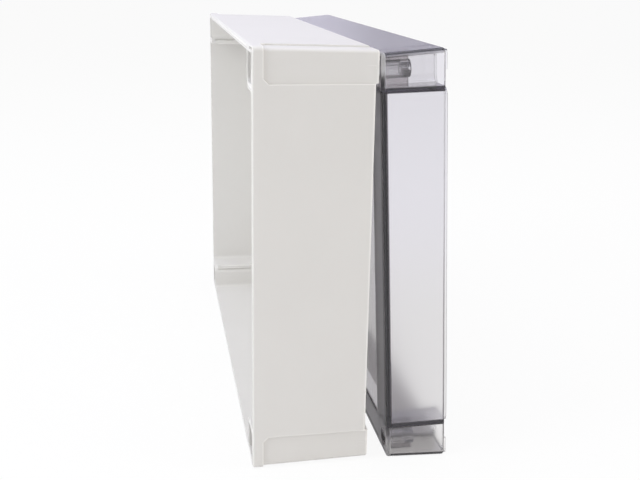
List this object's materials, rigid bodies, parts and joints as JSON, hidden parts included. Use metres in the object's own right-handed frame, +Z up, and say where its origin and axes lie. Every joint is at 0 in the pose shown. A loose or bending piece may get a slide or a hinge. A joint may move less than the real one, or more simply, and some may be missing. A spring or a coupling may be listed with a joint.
{
  "type": "enclosure box",
  "caption": "Rectangular moulded enclosure on its side: open grey base with corner pockets and a sealed rim, its smoky see-through lid taken off and leaning on the back.",
  "frame": {"origin": "middle of the footprint of the standing base and the leaning lid, on the surface they stand on", "axes": "+Z up, +Y along the length of the box, +X from the open rim of the base to its back"},
  "size_m": [0.1228, 0.361, 0.254],
  "materials": {
    "base_plastic": "pale warm grey, fine satin moulding",
    "seal": "soft pale grey foam",
    "lid_plastic": "smoky see-through, polished"
  },
  "bodies": {
    "root": {"base": "base_plastic", "gasket": "seal", "lid": "lid_plastic"}
  },
  "joints": []
}
